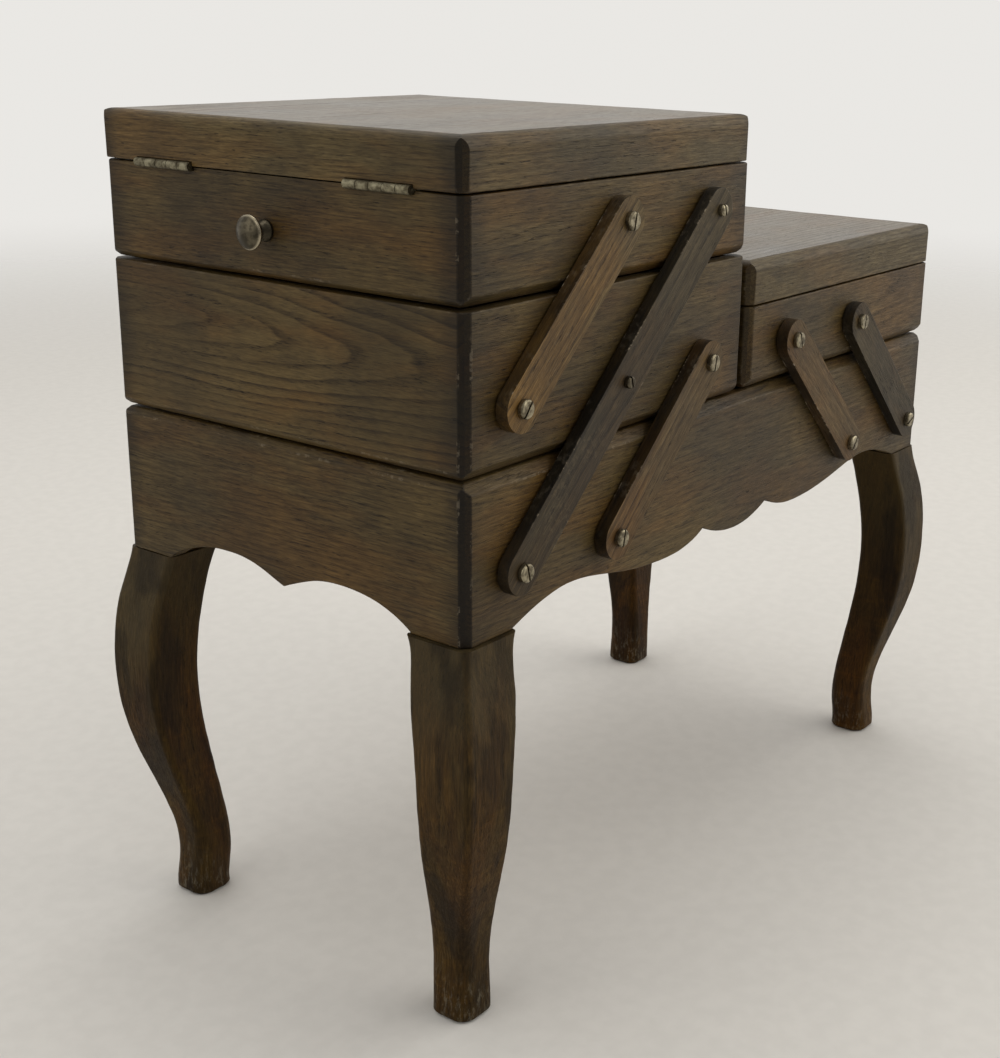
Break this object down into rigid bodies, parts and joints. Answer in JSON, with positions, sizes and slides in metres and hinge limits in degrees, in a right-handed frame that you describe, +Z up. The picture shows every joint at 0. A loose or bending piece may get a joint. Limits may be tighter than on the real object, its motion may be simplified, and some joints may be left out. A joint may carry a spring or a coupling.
{
  "type": "cantilever sewing box",
  "caption": "Wooden cantilever sewing box on curved legs: flat arms swing an open tray and lidded trays outwards and level over a long base box.",
  "frame": {"origin": "on the floor, under the middle of the whole object", "axes": "+X along the box's length towards the end with the single lidded tray, +Y from the front to the back, +Z up"},
  "size_m": [0.496, 0.2554, 0.432],
  "materials": {
    "case_wood": "dark stained oak, worn satin varnish",
    "lid_wood": "dark stained oak, satin varnish with a soft sheen",
    "arm_wood": "dark stained oak, dry and worn at the edges",
    "leg_wood": "dark stained wood, waxed, scuffed at the feet",
    "panel_wood": "thin plywood, lightly stained",
    "screw_brass": "aged, slightly tarnished",
    "hinge_brass": "aged, dull",
    "knob_brass": "aged, polished by use"
  },
  "bodies": {
    "base": {"base_front_apron": "case_wood", "base_back_apron": "case_wood", "base_left_apron": "case_wood", "base_right_apron": "case_wood", "base_bottom_panel": "panel_wood", "base_pivot_screws": "screw_brass", "front_left_leg": "leg_wood", "front_right_leg": "leg_wood", "back_left_leg": "leg_wood", "back_right_leg": "leg_wood"},
    "left_long_arms": {"left_long_arm_front": "arm_wood", "left_long_arm_back": "arm_wood"},
    "left_lower_arms": {"left_lower_arm_front": "arm_wood", "left_lower_arm_back": "arm_wood"},
    "left_upper_arms": {"left_upper_arm_front": "arm_wood", "left_upper_arm_back": "arm_wood"},
    "right_inner_arms": {"right_inner_arm_front": "arm_wood", "right_inner_arm_back": "arm_wood"},
    "right_outer_arms": {"right_outer_arm_front": "arm_wood", "right_outer_arm_back": "arm_wood"},
    "middle_tray": {"middle_tray_front_board": "case_wood", "middle_tray_back_board": "case_wood", "middle_tray_left_board": "case_wood", "middle_tray_right_board": "case_wood", "middle_tray_bottom_panel": "panel_wood", "middle_tray_pivot_screws": "screw_brass"},
    "top_tray": {"top_tray_front_board": "case_wood", "top_tray_back_board": "case_wood", "top_tray_left_board": "case_wood", "top_tray_right_board": "case_wood", "top_tray_bottom_panel": "panel_wood", "top_tray_pivot_screws": "screw_brass", "top_tray_hinge_leaves": "hinge_brass", "top_tray_hinge_pins": "hinge_brass", "top_tray_hinge_screws": "hinge_brass", "top_tray_knob": "knob_brass"},
    "top_lid": {"top_lid_front_rail": "lid_wood", "top_lid_back_rail": "lid_wood", "top_lid_left_rail": "lid_wood", "top_lid_right_rail": "lid_wood", "top_lid_panel": "lid_wood", "top_lid_hinge_leaves": "hinge_brass", "top_lid_hinge_screws": "hinge_brass"},
    "right_tray": {"right_tray_front_board": "case_wood", "right_tray_back_board": "case_wood", "right_tray_left_board": "case_wood", "right_tray_right_board": "case_wood", "right_tray_bottom_panel": "panel_wood", "right_tray_pivot_screws": "screw_brass", "right_tray_hinge_leaves": "hinge_brass", "right_tray_hinge_pins": "hinge_brass", "right_tray_hinge_screws": "hinge_brass", "right_tray_knob": "knob_brass"},
    "right_lid": {"right_lid_front_rail": "lid_wood", "right_lid_back_rail": "lid_wood", "right_lid_left_rail": "lid_wood", "right_lid_right_rail": "lid_wood", "right_lid_panel": "lid_wood", "right_lid_hinge_leaves": "hinge_brass", "right_lid_hinge_screws": "hinge_brass"}
  },
  "joints": [
    {"name": "left_swing", "type": "hinge", "parent": "base", "child": "left_long_arms", "pos_m": [-0.202, 0, 0.2362], "axis": [0, -1, 0], "range_deg": [0, 93.11]},
    {"name": "left_lower_arm_swing", "type": "hinge", "parent": "base", "child": "left_lower_arms", "pos_m": [-0.1257, 0, 0.2334], "axis": [0, -1, 0], "range_deg": [0, 93.11]},
    {"name": "middle_tray_level", "type": "hinge", "parent": "left_long_arms", "child": "middle_tray", "pos_m": [-0.1226, 0, 0.3114], "axis": [0, -1, 0], "range_deg": [-93.11, 0]},
    {"name": "top_tray_level", "type": "hinge", "parent": "left_long_arms", "child": "top_tray", "pos_m": [-0.0432, 0, 0.3866], "axis": [0, -1, 0], "range_deg": [-93.11, 0]},
    {"name": "left_upper_arm_swing", "type": "hinge", "parent": "middle_tray", "child": "left_upper_arms", "pos_m": [-0.2032, 0, 0.3132], "axis": [0, -1, 0], "range_deg": [0, 93.11]},
    {"name": "top_lid_hinge", "type": "hinge", "parent": "top_tray", "child": "top_lid", "pos_m": [-0.2355, 0, 0.4079], "axis": [0, -1, 0], "range_deg": [0, 130]},
    {"name": "right_swing", "type": "hinge", "parent": "base", "child": "right_outer_arms", "pos_m": [0.2028, 0, 0.2304], "axis": [0, 1, 0], "range_deg": [0, 91.35]},
    {"name": "right_inner_arm_swing", "type": "hinge", "parent": "base", "child": "right_inner_arms", "pos_m": [0.1232, 0, 0.231], "axis": [0, 1, 0], "range_deg": [0, 91.35]},
    {"name": "right_tray_level", "type": "hinge", "parent": "right_outer_arms", "child": "right_tray", "pos_m": [0.1253, 0, 0.3061], "axis": [0, 1, 0], "range_deg": [-91.35, 0]},
    {"name": "right_lid_hinge", "type": "hinge", "parent": "right_tray", "child": "right_lid", "pos_m": [0.2355, 0, 0.3296], "axis": [0, 1, 0], "range_deg": [0, 130]}
  ],
  "couplings": [
    {"joint": "left_lower_arm_swing", "follows": "left_swing", "ratio": 1},
    {"joint": "middle_tray_level", "follows": "left_swing", "ratio": -1},
    {"joint": "top_tray_level", "follows": "left_swing", "ratio": -1},
    {"joint": "left_upper_arm_swing", "follows": "left_swing", "ratio": 1},
    {"joint": "right_inner_arm_swing", "follows": "right_swing", "ratio": 1},
    {"joint": "right_tray_level", "follows": "right_swing", "ratio": -1}
  ]
}
